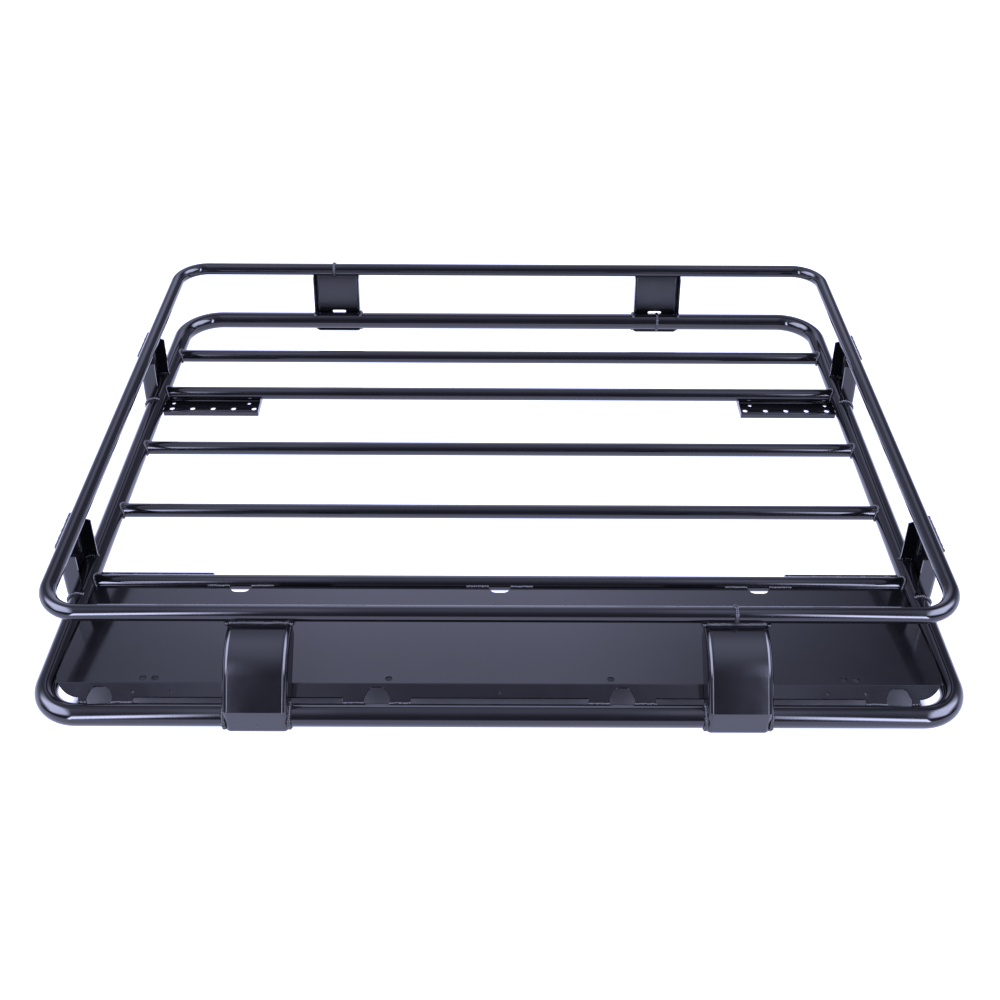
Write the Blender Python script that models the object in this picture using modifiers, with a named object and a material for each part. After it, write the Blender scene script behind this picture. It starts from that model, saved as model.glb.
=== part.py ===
"""Roof rack: a welded steel luggage basket for a vehicle, with a sheet wind deflector.

Metres, +Z up. +X runs across the vehicle, and the deflector end faces -Y.
The origin is on the ground plane, under the middle of the rack.
Lengths along the rack are first measured back from the front base tube.
"""

import math

import bmesh
import bpy
from mathutils import Matrix, Vector

# Driving dimensions: the two bent tube rings and the bars between them.
HALF_WIDTH = 0.600  # middle of the rack to the centreline of a side tube
BASE_LENGTH = 0.9657  # front to rear centreline of the base ring
RAIL_RISE = 0.0986  # base ring centreline up to top rail centreline
RAIL_FRONT_SETBACK = 0.0877  # top rail's front run, behind the base tube's
RAIL_REAR_OVERHANG = 0.0215  # top rail's rear run, behind the base tube's
BASE_RADIUS = 0.015
RAIL_RADIUS = 0.011
BAR_RADIUS = 0.011
BASE_WALL = 0.0018
RAIL_WALL = 0.0015
BASE_FRONT_BEND = 0.051
BASE_REAR_BEND = 0.067
RAIL_BEND = 0.050
BASE_FRONT_JOINT_X = -0.312  # butt joints between the two bent halves of a ring
BASE_REAR_JOINT_X = 0.303
RAIL_FRONT_JOINT_X = 0.3065
RAIL_REAR_JOINT_X = -0.313

# Crossbars: one over each pair of mounting channels, two spaced between them, one near the rear.
CHANNEL_BAR_INSET = 0.2446  # end tube to the crossbar over the mounting channels
REAR_BAR_INSET = 0.1267  # rear base tube to the last crossbar
MIDDLE_BARS = 2

# Pressed posts between the rings.
SHEET = 0.0022
FIT = 0.0003  # gap between pieces that touch
COPE = 0.00025  # gap of a coped edge round a tube
FRONT_POST_X = (-0.313, 0.308)  # left and right, as welded by hand, so a little uneven
REAR_POST_X = (-0.311, 0.300)
FRONT_POST_WIDTH = 0.084
REAR_POST_WIDTH = 0.086
SIDE_POST_WIDTH = 0.080
FLANGE_DEPTH = 0.026
POST_EDGE_ROUND = 0.008
POST_FOOT_BEND = 0.009
FRONT_CREASE_RISE = 0.0257  # crease in a front post, over the base tube's centreline
FRONT_WEB_SETBACK = 0.057882  # a front post's crease back to the corner where its web turns level
FRONT_WEB_BEND_RUN = 0.039133  # that corner out to either end of the wide bend that rounds it
FRONT_WEB_END = math.radians(-69)  # where the web ends, round the top rail
FRONT_LIP = 0.012
SLOT_LENGTH = 0.0255
SLOT_HEIGHT = 0.0055
SLOT_DROP = 0.004  # slot's middle, below the top of the base tube

# Mounting channels under two of the crossbars.
CHANNEL_LENGTH = 0.1662
CHANNEL_HALF_WIDTH = 0.036
CHANNEL_DROP = 0.0136  # bar axis down to the top of the channel's plate
CHANNEL_DEPTH = 0.0104
CHANNEL_BEND = 0.003
SEAT_HALF_WIDTH = 0.004
SEAT_SLOPE = 0.0025
HOLE_PITCH = 0.036
HOLE_COUNT = 5
HOLE_RADIUS = 0.0045
HOLE_OFFSET = 0.028  # row of holes to the bar axis
FIRST_HOLE_INSET = 0.023  # side tube's centreline to the nearest hole
SMALL_HOLE_RADIUS = 0.00325
SMALL_HOLE_OFFSET = 0.0125
SMALL_HOLE_INSETS = (0.023, 0.156)
VENT_BASE = 0.016
VENT_DEPTH = 0.0072
VENT_OFFSET = 0.014

# Wind deflector: one sheet from the first crossbar, folded down near the front tube.
DEFLECTOR_SHEET = 0.002
DEFLECTOR_SIDE_GAP = 0.001
FOLD_SETBACK = 0.0209  # back of the front tube to the fold
FOLD_RISE = 0.020
STRIP_RUN = 0.0151
STRIP_FALL = 0.0100
DEFLECTOR_CORNER = 0.035
NOTCH_HALF_OPENING = 0.0165
NOTCH_DEPTH = 0.0115
TAB_LENGTH = 0.0275
TAB_REACH = 0.0062
REAR_NOTCH_INSET = 0.225  # outer notches and holes are set from the side tubes
FRONT_NOTCH_INSET = 0.078
FRONT_NOTCH_X = 0.160
FOLD_HOLE_RADIUS = 0.00475
FOLD_HOLE_SETBACK = 0.009
FOLD_HOLE_X = 0.146
FOLD_HOLE_INSETS = (0.131, 0.147)
STRIP_HOLE_RADIUS = 0.00225
STRIP_HOLE_ADVANCE = 0.0095
STRIP_HOLE_INSETS = (0.121, 0.171)

# Facets.
BEND_STEP = math.radians(22.5)
TUBE_BEVEL_RESOLUTION = 6
CUTTER_SIDES = 24
HOLE_SIDES = 10
OVERSHOOT = 0.010  # how far a cutter runs past what it cuts

# Places that follow from the sizes above.
GROUND_TO_BASE = CHANNEL_DROP + CHANNEL_DEPTH
SEAT = BASE_RADIUS + FIT + SHEET  # base tube's centreline to the outside of a post
RAIL_SEAT = RAIL_RADIUS + FIT + SHEET
FRONT_Y = -(BASE_LENGTH + RAIL_REAR_OVERHANG + RAIL_SEAT - SEAT) / 2
REAR_Y = FRONT_Y + BASE_LENGTH
SIDE_LIP = FLANGE_DEPTH - SEAT


def arc_corner(before, corner, after, radius):
    """Points of the arc that rounds a corner between two straight runs."""
    arriving = (corner - before).normalized()
    leaving = (after - corner).normalized()
    cross = arriving.x * leaving.y - arriving.y * leaving.x
    turn = math.atan2(cross, arriving.dot(leaving))
    start = corner - arriving * radius * math.tan(abs(turn) / 2)
    to_centre = Vector((-arriving.y, arriving.x)) * math.copysign(radius, turn)
    centre = start + to_centre
    steps = max(2, math.ceil(abs(turn) / BEND_STEP))
    return [centre + Matrix.Rotation(turn * step / steps, 2) @ -to_centre for step in range(steps + 1)]


def rounded(corners, closed=True):
    """The points of a path given as (x, y, radius) corners, where radius 0 stays sharp."""
    points = []
    last = len(corners) - 1
    for index, (x, y, radius) in enumerate(corners):
        corner = Vector((x, y))
        if radius == 0 or (not closed and index in (0, last)):
            points.append(corner)
            continue
        before = Vector(corners[index - 1][:2])
        after = Vector(corners[(index + 1) % len(corners)][:2])
        points += arc_corner(before, corner, after, radius)
    return points


def circle(x, y, radius, sides=HOLE_SIDES):
    """The points of a circle."""
    turns = [2 * math.pi * index / sides for index in range(sides)]
    return [Vector((x + radius * math.cos(turn), y + radius * math.sin(turn))) for turn in turns]


def new_collection(name):
    """An empty collection in the scene."""
    collection = bpy.data.collections.new(name)
    bpy.context.scene.collection.children.link(collection)
    return collection


def curve_to_mesh(curve, name, collection, place):
    """A mesh object made from a curve, with its loose caps welded on and flat areas joined."""
    source = bpy.data.objects.new(name + "_curve", curve)
    collection.objects.link(source)
    graph = bpy.context.evaluated_depsgraph_get()
    mesh = bpy.data.meshes.new_from_object(source.evaluated_get(graph))
    bpy.data.objects.remove(source)
    bpy.data.curves.remove(curve)
    shape = bmesh.new()
    shape.from_mesh(mesh)
    bmesh.ops.remove_doubles(shape, verts=shape.verts, dist=0.00001)
    bmesh.ops.dissolve_limit(shape, angle_limit=0.001, verts=shape.verts, edges=shape.edges)
    bmesh.ops.recalc_face_normals(shape, faces=shape.faces)
    shape.to_mesh(mesh)
    shape.free()
    mesh.name = name
    obj = bpy.data.objects.new(name, mesh)
    obj.matrix_world = place
    collection.objects.link(obj)
    return obj


def new_tube(name, path, radius, wall, height):
    """A hollow tube bent along a flat path at this height, open at both ends."""
    curve = bpy.data.curves.new(name, "CURVE")
    curve.dimensions = "3D"
    curve.bevel_depth = radius
    curve.bevel_resolution = TUBE_BEVEL_RESOLUTION
    spline = curve.splines.new("POLY")
    spline.points.add(len(path) - 1)
    for spline_point, point in zip(spline.points, path):
        spline_point.co = (point.x, point.y, 0, 1)
    obj = curve_to_mesh(curve, name, PARTS, Matrix.Translation((0, 0, height)))
    shell = obj.modifiers.new("wall", "SOLIDIFY")
    shell.thickness = wall
    shell.offset = -1
    return obj


def new_plate(name, outlines, thickness, place, collection):
    """A flat plate cut to the first outline, with the other outlines as holes."""
    curve = bpy.data.curves.new(name, "CURVE")
    curve.dimensions = "2D"
    curve.fill_mode = "BOTH"
    curve.extrude = thickness / 2
    for points in outlines:
        spline = curve.splines.new("POLY")
        spline.points.add(len(points) - 1)
        for spline_point, point in zip(spline.points, points):
            spline_point.co = (point.x, point.y, 0, 1)
        spline.use_cyclic_u = True
    return curve_to_mesh(curve, name, collection, place)


def as_cutter(obj):
    """Marks an object as a cutter, which is only drawn as wire."""
    obj.hide_render = True
    obj.display_type = "WIRE"
    return obj


def new_rod_cutter(name, radius, length, place):
    """A round cutter along its own Z axis."""
    mesh = bpy.data.meshes.new(name)
    shape = bmesh.new()
    bmesh.ops.create_cone(
        shape, cap_ends=True, segments=CUTTER_SIDES, radius1=radius, radius2=radius, depth=length
    )
    shape.to_mesh(mesh)
    shape.free()
    obj = bpy.data.objects.new(name, mesh)
    obj.matrix_world = place
    CUTTERS.objects.link(obj)
    return as_cutter(obj)


def add_boolean(obj, cutter, operation="DIFFERENCE"):
    """Cuts an object by another, or keeps what they share."""
    boolean = obj.modifiers.new(cutter.name, "BOOLEAN")
    boolean.operation = operation
    boolean.object = cutter


def round_edges(obj, path, radius):
    """Rounds the edges that run along this path on both faces of a plate."""
    on_path = {(round(point.x, 6), round(point.y, 6)) for point in path}
    mesh = obj.data
    weights = mesh.attributes.new("bevel_weight_edge", "FLOAT", "EDGE")
    for edge in mesh.edges:
        ends = [mesh.vertices[index].co for index in edge.vertices]
        same_face = abs(ends[0].z - ends[1].z) < FIT
        if same_face and all((round(end.x, 6), round(end.y, 6)) in on_path for end in ends):
            weights.data[edge.index].value = 1
    bevel = obj.modifiers.new("rounded edges", "BEVEL")
    bevel.limit_method = "WEIGHT"
    bevel.width = radius
    bevel.segments = 2
    bevel.use_clamp_overlap = False


def paint(obj, name, colour, roughness, metallic):
    """Gives an object its own painted material."""
    material = bpy.data.materials.new(name)
    material.use_nodes = True
    shader = material.node_tree.nodes["Principled BSDF"]
    shader.inputs["Base Color"].default_value = (*colour, 1)
    shader.inputs["Roughness"].default_value = roughness
    shader.inputs["Metallic"].default_value = metallic
    obj.data.materials.append(material)


def along_y(back):
    """The Y of a place measured back from the front base tube."""
    return FRONT_Y + back


def ring_half(front_y, rear_y, bends, joints, side):
    """One bent half of a ring, from its front joint round one side to its rear joint."""
    side_x = side * HALF_WIDTH
    corners = [
        (joints[0] + side * FIT / 2, front_y, 0),
        (side_x, front_y, bends[0]),
        (side_x, rear_y, bends[1]),
        (joints[1] + side * FIT / 2, rear_y, 0),
    ]
    return rounded(corners, closed=False)


def make_base_ring():
    """The base ring, the larger tube, in two bent halves."""
    for name, side in (("base_tube_left", -1), ("base_tube_right", 1)):
        path = ring_half(
            FRONT_Y,
            REAR_Y,
            (BASE_FRONT_BEND, BASE_REAR_BEND),
            (BASE_FRONT_JOINT_X, BASE_REAR_JOINT_X),
            side,
        )
        tube = new_tube(name, path, BASE_RADIUS, BASE_WALL, GROUND_TO_BASE)
        paint(tube, name + "_paint", (0.010, 0.011, 0.013), 0.16, 0.0)


def make_top_rail():
    """The top rail, the smaller tube, in two bent halves."""
    for name, side in (("top_rail_left", -1), ("top_rail_right", 1)):
        path = ring_half(
            FRONT_Y + RAIL_FRONT_SETBACK,
            REAR_Y + RAIL_REAR_OVERHANG,
            (RAIL_BEND, RAIL_BEND),
            (RAIL_FRONT_JOINT_X, RAIL_REAR_JOINT_X),
            side,
        )
        tube = new_tube(name, path, RAIL_RADIUS, RAIL_WALL, GROUND_TO_BASE + RAIL_RISE)
        paint(tube, name + "_paint", (0.011, 0.012, 0.014), 0.15, 0.0)


def crossbar_places():
    """Each crossbar's distance back from the front base tube, front to rear."""
    first = CHANNEL_BAR_INSET
    last = BASE_LENGTH - CHANNEL_BAR_INSET
    pitch = (last - first) / (MIDDLE_BARS + 1)
    spaced = [first + pitch * index for index in range(MIDDLE_BARS + 2)]
    return [*spaced, BASE_LENGTH - REAR_BAR_INSET]


def make_side_tube_cutters():
    """A cutter in the shape of each side tube, by side."""
    place = Matrix.Rotation(math.pi / 2, 4, "X")
    cutters = {}
    for name, side in (("side_tube_cut_left", -1), ("side_tube_cut_right", 1)):
        middle = Vector((side * HALF_WIDTH, (FRONT_Y + REAR_Y) / 2, GROUND_TO_BASE))
        length = BASE_LENGTH + 2 * OVERSHOOT
        cutters[side] = new_rod_cutter(name, BASE_RADIUS + FIT, length, Matrix.Translation(middle) @ place)
    return cutters


def make_crossbars(side_cutters):
    """The round crossbars, with ends coped to the side tubes."""
    reach = HALF_WIDTH - BASE_RADIUS / 3
    for index, back in enumerate(crossbar_places()):
        y = along_y(back)
        path = [Vector((-reach, y)), Vector((reach, y))]
        bar = new_tube(f"crossbar_{index + 1}", path, BAR_RADIUS, RAIL_WALL, GROUND_TO_BASE)
        for cutter in side_cutters.values():
            add_boolean(bar, cutter)
        paint(bar, bar.name + "_paint", (0.011, 0.012, 0.014), 0.15, 0.0)


def facing(outward, tube_middle):
    """The frame of a post: X outwards, Y up, Z along the base tube, from the tube's centreline."""
    up = Vector((0, 0, 1))
    along = outward.cross(up)
    turned = Matrix((outward, up, along)).transposed().to_4x4()
    return Matrix.Translation(tube_middle) @ turned


def make_post(name, place, width, outer, inner, cavity, rail_middle):
    """A pressed channel, from its outer path, the inner edge of its flanges and its cavity's path."""
    post = new_plate(name, [outer + inner], width, place, PARTS)
    round_edges(post, outer, POST_EDGE_ROUND)
    hollow = as_cutter(new_plate(name + "_cavity", [cavity], width - 2 * SHEET, place, CUTTERS))
    round_edges(hollow, cavity[:-1], POST_EDGE_ROUND - SHEET)
    add_boolean(post, hollow)
    length = width + 2 * OVERSHOOT
    tube_cut = new_rod_cutter(name + "_tube_cut", BASE_RADIUS + COPE, length, place)
    rail_place = place @ Matrix.Translation((*rail_middle, 0))
    rail_cut = new_rod_cutter(name + "_rail_cut", RAIL_RADIUS + COPE, length, rail_place)
    add_boolean(post, tube_cut)
    add_boolean(post, rail_cut)
    paint(post, name + "_paint", (0.012, 0.013, 0.016), 0.19, 0.0)
    return post


def upright_post(name, place, width, overhang):
    """A post that stands outside both rings, leaning out by the top rail's overhang."""
    rail_web = overhang + RAIL_SEAT
    flange_top = RAIL_RISE - RAIL_RADIUS - FIT
    outer = rounded(
        [
            (-SIDE_LIP, -SEAT, 0),
            (SEAT, -SEAT, POST_FOOT_BEND),
            (SEAT, BASE_RADIUS, POST_EDGE_ROUND * 4),
            (rail_web, flange_top - POST_EDGE_ROUND, POST_EDGE_ROUND * 2),
            (rail_web, RAIL_RISE, 0),
        ],
        closed=False,
    )
    inner = rounded(
        [
            (overhang, RAIL_RISE, 0),
            (overhang - RAIL_RADIUS / 2, flange_top, 0),
            (rail_web - FLANGE_DEPTH, flange_top - SHEET, 0),
            (-SIDE_LIP, BASE_RADIUS * 1.5, 0),
        ],
        closed=False,
    )
    cavity = rounded(
        [
            (-FLANGE_DEPTH - OVERSHOOT, SHEET - SEAT, 0),
            (SEAT - SHEET, SHEET - SEAT, POST_FOOT_BEND - SHEET),
            (SEAT - SHEET, BASE_RADIUS, POST_EDGE_ROUND * 4),
            (rail_web - SHEET, flange_top - POST_EDGE_ROUND, POST_EDGE_ROUND * 2),
            (rail_web - SHEET, RAIL_RISE + OVERSHOOT, 0),
            (-FLANGE_DEPTH - OVERSHOOT, RAIL_RISE + OVERSHOOT, 0),
        ],
        closed=False,
    )
    return make_post(name, place, width, outer, inner, cavity, (overhang, RAIL_RISE))


def mitred(corner, before, after, inset):
    """This corner moved in from its two runs, whose inward directions are given."""
    return corner + (before + after) * (inset / (1 + before.dot(after)))


def leaning_post(name, place, width):
    """A front post: an upright foot on the base tube, then a web that leans back to the top rail."""
    rail = Vector((-RAIL_FRONT_SETBACK, RAIL_RISE))
    crease = Vector((SEAT, FRONT_CREASE_RISE))
    web_end = rail + Vector((math.cos(FRONT_WEB_END), math.sin(FRONT_WEB_END))) * (RAIL_RADIUS + 2 * FIT)
    bend = Vector((crease.x - FRONT_WEB_SETBACK, web_end.y))
    lean = math.atan2(FRONT_WEB_SETBACK, web_end.y - crease.y)
    bend_radius = FRONT_WEB_BEND_RUN / math.tan(math.pi / 4 - lean / 2)
    into_foot = Vector((-1, 0))
    into_web = Vector((-math.cos(lean), -math.sin(lean)))
    into_top = Vector((0, -1))
    outer = rounded(
        [
            (-FRONT_LIP, -SEAT, 0),
            (SEAT, -SEAT, POST_FOOT_BEND),
            (*crease, 0),
            (*bend, bend_radius),
            (*web_end, 0),
        ],
        closed=False,
    )
    flange_end = web_end + into_top * FLANGE_DEPTH
    inner = [flange_end, Vector((-SIDE_LIP, BASE_RADIUS / 3))]
    inner_end = web_end + into_top * SHEET
    cavity = rounded(
        [
            (-FLANGE_DEPTH - OVERSHOOT, SHEET - SEAT, 0),
            (SEAT - SHEET, SHEET - SEAT, POST_FOOT_BEND - SHEET),
            (*mitred(crease, into_foot, into_web, SHEET), 0),
            (*mitred(bend, into_web, into_top, SHEET), bend_radius - SHEET),
            (inner_end.x - OVERSHOOT, inner_end.y, 0),
        ],
        closed=False,
    )
    cavity.append(flange_end + Vector((-OVERSHOOT, -OVERSHOOT)))
    return make_post(name, place, width, outer, inner, cavity, rail)


def make_front_posts():
    """The two posts at the deflector end."""
    for name, x in zip(("front_post_left", "front_post_right"), FRONT_POST_X):
        place = facing(Vector((0, -1, 0)), Vector((x, FRONT_Y, GROUND_TO_BASE)))
        leaning_post(name, place, FRONT_POST_WIDTH)


def make_rear_posts():
    """The two posts at the rear, each with a drain slot beside the base tube."""
    for name, x in zip(("rear_post_left", "rear_post_right"), REAR_POST_X):
        middle = Vector((x, REAR_Y, GROUND_TO_BASE))
        post = upright_post(name, facing(Vector((0, 1, 0)), middle), REAR_POST_WIDTH, RAIL_REAR_OVERHANG)
        run = SLOT_LENGTH / 2
        rise = SLOT_HEIGHT / 2
        slot = rounded(
            [(-run, -rise, rise * 0.98), (run, -rise, rise * 0.98), (run, rise, rise * 0.98)]
            + [(-run, rise, rise * 0.98)]
        )
        slot_middle = middle + Vector((0, SEAT, BASE_RADIUS - SLOT_DROP))
        slot_place = Matrix.Translation(slot_middle) @ Matrix.Rotation(math.pi / 2, 4, "X")
        cutter = new_plate(name + "_slot", [slot], 2 * OVERSHOOT, slot_place, CUTTERS)
        add_boolean(post, as_cutter(cutter))


def make_side_posts():
    """The four posts at the sides, at the crossbars that carry the mounting channels."""
    places = crossbar_places()
    for end, back in (("front", places[0]), ("rear", places[MIDDLE_BARS + 1])):
        for name, side in (("left", -1), ("right", 1)):
            middle = Vector((side * HALF_WIDTH, along_y(back), GROUND_TO_BASE))
            place = facing(Vector((side, 0, 0)), middle)
            upright_post(f"side_post_{end}_{name}", place, SIDE_POST_WIDTH, 0)


def channel_section(half_width, top, bottom, bend, seat_rise, seat_half_width):
    """The outline of a channel's section, with the raised seat under the crossbar."""
    seat_foot = seat_half_width + SEAT_SLOPE
    return rounded(
        [
            (-half_width, bottom, 0),
            (half_width, bottom, 0),
            (half_width, top, bend),
            (seat_foot, top, 0),
            (seat_half_width, top + seat_rise, 0),
            (-seat_half_width, top + seat_rise, 0),
            (-seat_foot, top, 0),
            (-half_width, top, bend),
        ]
    )


def make_channel(name, side, bar_y, side_cutter):
    """A mounting channel: open underneath, closed at its inner end, coped to the side tube."""
    outer_end = HALF_WIDTH - SIDE_LIP - FIT
    inner_end = outer_end - CHANNEL_LENGTH
    seat_rise = CHANNEL_DROP - BAR_RADIUS - FIT
    along_bar = Matrix((Vector((0, 1, 0)), Vector((0, 0, 1)), Vector((1, 0, 0)))).transposed().to_4x4()

    def spanning(start, end):
        middle = Vector((side * (start + end) / 2, bar_y, GROUND_TO_BASE))
        return Matrix.Translation(middle) @ along_bar

    body = channel_section(
        CHANNEL_HALF_WIDTH, -CHANNEL_DROP, -GROUND_TO_BASE, CHANNEL_BEND, seat_rise, SEAT_HALF_WIDTH
    )
    channel = new_plate(name, [body], CHANNEL_LENGTH, spanning(inner_end, outer_end), PARTS)
    hollow = channel_section(
        CHANNEL_HALF_WIDTH - SHEET,
        -CHANNEL_DROP - SHEET,
        -GROUND_TO_BASE - OVERSHOOT,
        CHANNEL_BEND - SHEET,
        seat_rise,
        SEAT_HALF_WIDTH - SHEET / 2,
    )
    start = inner_end + SHEET
    end = outer_end + OVERSHOOT
    hollow_cut = new_plate(name + "_hollow", [hollow], end - start, spanning(start, end), CUTTERS)
    add_boolean(channel, as_cutter(hollow_cut))
    add_boolean(channel, side_cutter)

    holes = []
    for index in range(HOLE_COUNT):
        hole_x = side * (HALF_WIDTH - FIRST_HOLE_INSET - HOLE_PITCH * index)
        holes.append(circle(hole_x, bar_y + HOLE_OFFSET, HOLE_RADIUS))
        holes.append(circle(hole_x, bar_y - HOLE_OFFSET, HOLE_RADIUS))
    for inset in SMALL_HOLE_INSETS:
        small_x = side * (HALF_WIDTH - inset)
        holes.append(circle(small_x, bar_y - SMALL_HOLE_OFFSET, SMALL_HOLE_RADIUS))
    vent_start = side * (inner_end + SHEET)
    vent_tip = side * (inner_end + SHEET + VENT_DEPTH)
    holes.append(
        [
            Vector((vent_start, bar_y + VENT_OFFSET - VENT_BASE / 2)),
            Vector((vent_start, bar_y + VENT_OFFSET + VENT_BASE / 2)),
            Vector((vent_tip, bar_y + VENT_OFFSET)),
        ]
    )
    for index, hole in enumerate(holes):
        hole_place = Matrix.Translation((0, 0, GROUND_TO_BASE - CHANNEL_DROP))
        punch = new_plate(f"{name}_punch_{index}", [hole], OVERSHOOT, hole_place, CUTTERS)
        add_boolean(channel, as_cutter(punch))
    paint(channel, name + "_paint", (0.012, 0.013, 0.016), 0.21, 0.0)


def make_channels(side_cutters):
    """The four mounting channels."""
    places = crossbar_places()
    for end, back in (("front", places[0]), ("rear", places[MIDDLE_BARS + 1])):
        for name, side in (("left", -1), ("right", 1)):
            make_channel(f"mounting_channel_{end}_{name}", side, along_y(back), side_cutters[side])


def notch(x, edge_y, inwards, step):
    """A round-bottomed notch in an edge, walked along X in steps of this sign."""
    radius = NOTCH_HALF_OPENING / 2
    half = NOTCH_HALF_OPENING
    bottom = edge_y + inwards * NOTCH_DEPTH
    return [(x - step * half, edge_y, 0), (x - step * half / 2, bottom, radius)] + [
        (x + step * half / 2, bottom, radius),
        (x + step * half, edge_y, 0),
    ]


def make_deflector():
    """The folded sheet at the front, cut to a plan outline with notches, tabs and holes."""
    bar_y = along_y(crossbar_places()[0])
    rear_y = bar_y - BAR_RADIUS - FIT
    fold_y = FRONT_Y + BASE_RADIUS + FOLD_SETBACK
    front_y = fold_y - STRIP_RUN
    tab_y = front_y - TAB_REACH
    rise_rate = FOLD_RISE / (bar_y - fold_y)
    fall_rate = STRIP_FALL / STRIP_RUN
    reach = HALF_WIDTH - BASE_RADIUS - DEFLECTOR_SIDE_GAP

    half = DEFLECTOR_SHEET / 2
    rear_z = (bar_y - rear_y) * rise_rate
    tip_y = tab_y - OVERSHOOT
    tip_z = FOLD_RISE - (fold_y - tip_y) * fall_rate
    section = [
        Vector((rear_y, rear_z + half)),
        Vector((fold_y, FOLD_RISE + half)),
        Vector((tip_y, tip_z + half)),
        Vector((tip_y, tip_z - half)),
        Vector((fold_y, FOLD_RISE - half)),
        Vector((rear_y, rear_z - half)),
    ]
    across = Matrix((Vector((0, 1, 0)), Vector((0, 0, 1)), Vector((1, 0, 0)))).transposed().to_4x4()
    place = Matrix.Translation((0, 0, GROUND_TO_BASE)) @ across
    panel = new_plate("wind_deflector", [section], 2 * (reach + OVERSHOOT), place, PARTS)

    corners = [(-reach, rear_y + OVERSHOOT, 0), (-reach, front_y, DEFLECTOR_CORNER)]
    for x in (FRONT_NOTCH_INSET - HALF_WIDTH, -FRONT_NOTCH_X, FRONT_NOTCH_X, HALF_WIDTH - FRONT_NOTCH_INSET):
        near_tab = min(TAB_LENGTH, reach - DEFLECTOR_CORNER - abs(x) - NOTCH_HALF_OPENING)
        before = near_tab if x < -FRONT_NOTCH_X else TAB_LENGTH
        after = near_tab if x > FRONT_NOTCH_X else TAB_LENGTH
        if before > 0:
            corners.append((x - NOTCH_HALF_OPENING - before, front_y, 0))
            corners.append((x - NOTCH_HALF_OPENING - before, tab_y, 0))
            corners.append((x - NOTCH_HALF_OPENING, tab_y, 0))
        corners += notch(x, front_y, 1, 1)
        if after > 0:
            corners.append((x + NOTCH_HALF_OPENING, tab_y, 0))
            corners.append((x + NOTCH_HALF_OPENING + after, tab_y, 0))
            corners.append((x + NOTCH_HALF_OPENING + after, front_y, 0))
    corners += [(reach, front_y, DEFLECTOR_CORNER), (reach, rear_y + OVERSHOOT, 0)]
    for x in (HALF_WIDTH - REAR_NOTCH_INSET, 0, REAR_NOTCH_INSET - HALF_WIDTH):
        cut = notch(x, rear_y, -1, -1)
        corners += [(cut[0][0], rear_y + OVERSHOOT, 0), *cut, (cut[-1][0], rear_y + OVERSHOOT, 0)]
    outlines = [rounded(corners)]

    fold_holes = [FOLD_HOLE_X] + [HALF_WIDTH - inset for inset in FOLD_HOLE_INSETS]
    strip_holes = [HALF_WIDTH - inset for inset in STRIP_HOLE_INSETS]
    strip_y = fold_y - STRIP_HOLE_ADVANCE
    outlines.append(circle(0, strip_y, STRIP_HOLE_RADIUS))
    for side in (-1, 1):
        outlines += [circle(side * x, fold_y + FOLD_HOLE_SETBACK, FOLD_HOLE_RADIUS) for x in fold_holes]
        outlines += [circle(side * x, strip_y, STRIP_HOLE_RADIUS) for x in strip_holes]
    plan_place = Matrix.Translation((0, 0, GROUND_TO_BASE))
    plan = new_plate("wind_deflector_plan", outlines, 4 * FOLD_RISE, plan_place, CUTTERS)
    add_boolean(panel, as_cutter(plan), "INTERSECT")
    paint(panel, "wind_deflector_paint", (0.013, 0.014, 0.017), 0.22, 0.0)


def shade_all():
    """Smooth shading on round surfaces, with sharp edges kept."""
    for obj in PARTS.objects:
        obj.data.shade_smooth()
        obj.data.set_sharp_from_angle(angle=math.radians(35))


for leftover in list(bpy.context.scene.objects):
    bpy.data.objects.remove(leftover)
PARTS = new_collection("roof_rack")
CUTTERS = new_collection("roof_rack_cutters")
make_base_ring()
make_top_rail()
side_tube_cutters = make_side_tube_cutters()
make_crossbars(side_tube_cutters)
make_front_posts()
make_rear_posts()
make_side_posts()
make_channels(side_tube_cutters)
make_deflector()
shade_all()
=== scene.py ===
# %% [markdown]
# # A roof rack in gloss black powder coat
# The real object is a luggage basket for the roof of a vehicle. Two rings of bent steel tube sit one
# above the other, pressed steel posts join them, and round crossbars make the floor. A folded sheet
# at the front turns the wind away. Everything is welded and then powder coated in one go.
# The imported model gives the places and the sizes, and this lesson makes the surfaces that are seen.

# %% Load the frame
import math

import bmesh
import bpy
from mathutils import Matrix, Vector


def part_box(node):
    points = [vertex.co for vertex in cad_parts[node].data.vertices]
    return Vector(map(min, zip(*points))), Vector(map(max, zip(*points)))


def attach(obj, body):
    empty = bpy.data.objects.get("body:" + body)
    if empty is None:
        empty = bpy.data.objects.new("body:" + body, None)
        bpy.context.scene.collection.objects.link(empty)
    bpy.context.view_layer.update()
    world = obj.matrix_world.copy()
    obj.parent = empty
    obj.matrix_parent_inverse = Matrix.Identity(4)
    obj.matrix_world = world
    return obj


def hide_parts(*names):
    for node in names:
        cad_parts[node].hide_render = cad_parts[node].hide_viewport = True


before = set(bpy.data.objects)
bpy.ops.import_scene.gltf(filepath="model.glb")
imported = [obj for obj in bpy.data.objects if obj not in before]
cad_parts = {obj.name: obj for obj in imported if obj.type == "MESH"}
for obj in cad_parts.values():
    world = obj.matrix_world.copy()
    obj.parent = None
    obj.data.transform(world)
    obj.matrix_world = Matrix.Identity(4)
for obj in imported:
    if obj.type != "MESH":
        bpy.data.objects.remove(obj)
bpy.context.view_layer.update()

# %% [markdown]
# ## Colours and nodes
# Colours are written as sRGB hex values, because that is how paint is matched by eye. Blender's
# shaders work in linear light, so one function turns them. A second function adds a node, sets its
# options and either links or fills its inputs, which keeps each material short enough to read.

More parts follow.
